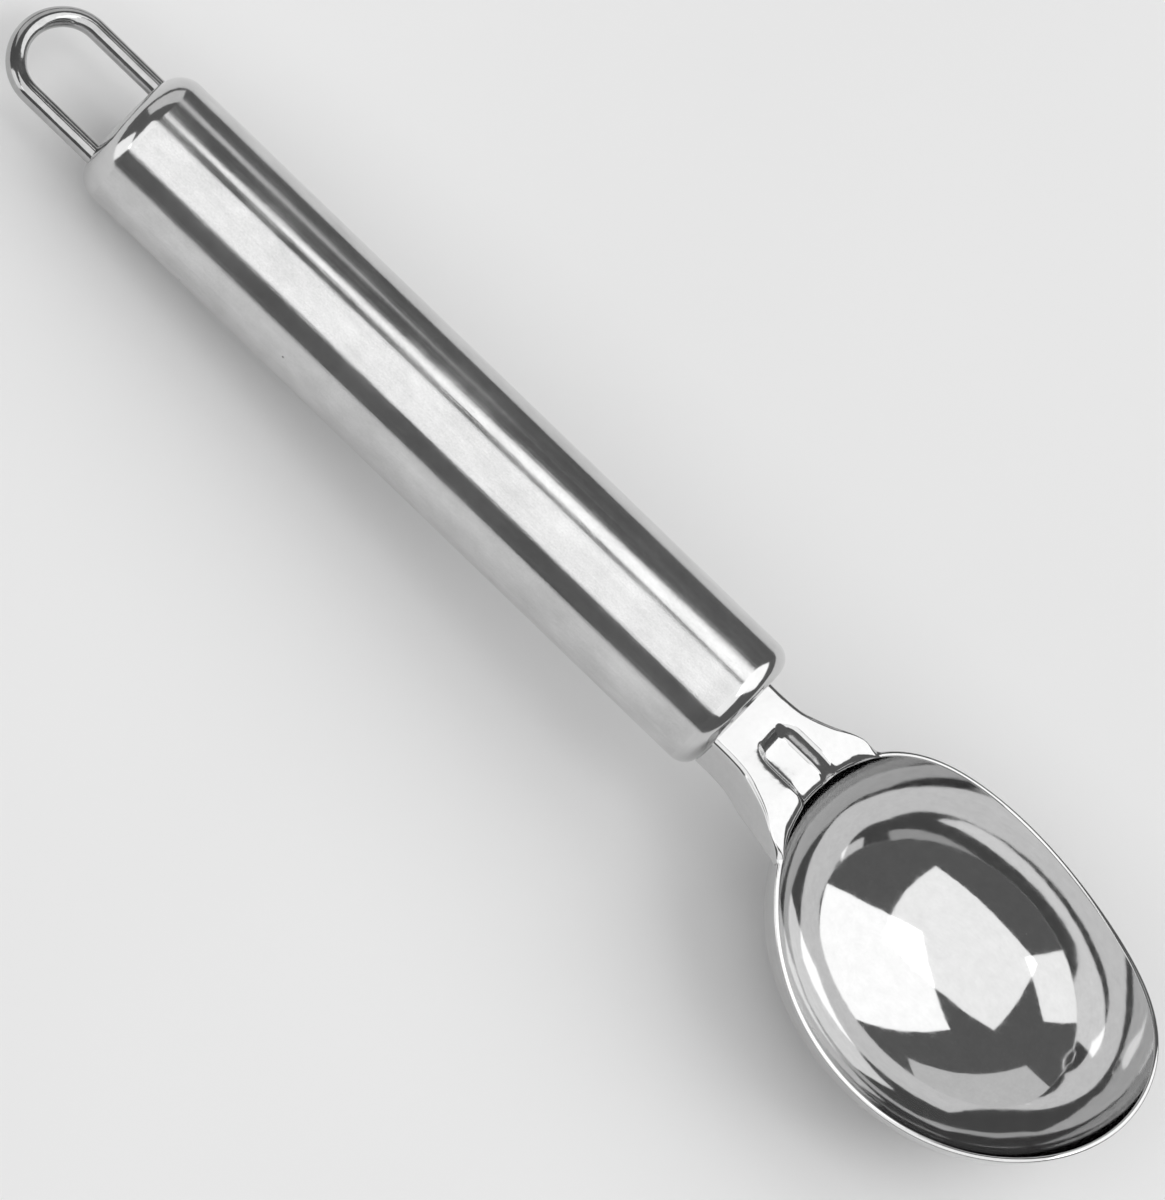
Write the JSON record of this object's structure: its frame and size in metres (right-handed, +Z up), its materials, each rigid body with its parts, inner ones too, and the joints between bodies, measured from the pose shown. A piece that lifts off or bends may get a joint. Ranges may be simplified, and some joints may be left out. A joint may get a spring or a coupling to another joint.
{
  "type": "ice-cream scoop",
  "caption": "Stamped steel ice-cream scoop: deep spoon-like bowl on a grooved channel neck, hollow round handle with rounded ends and a wire hanging loop.",
  "frame": {"origin": "centre of the footprint, on the surface that the scoop rests on", "axes": "+X from the hanging loop towards the bowl's tip, +Z up out of the bowl, with the handle sloping down to its rear end"},
  "size_m": [0.219, 0.0514, 0.0345],
  "materials": {
    "handle_steel": "satin, brushed along the handle",
    "cap_steel": "polished over the rounded shoulder",
    "loop_steel": "drawn wire, polished",
    "head_steel": "mirror polished",
    "weld_steel": "weld metal, ground flush where it is outside"
  },
  "bodies": {
    "root": {"handle_tube": "handle_steel", "front_end_cap": "cap_steel", "rear_end_cap": "cap_steel", "front_cap_weld": "weld_steel", "rear_cap_weld": "weld_steel", "hanging_loop": "loop_steel", "loop_welds": "weld_steel", "scoop_head": "head_steel", "tang_welds": "weld_steel"}
  },
  "joints": []
}
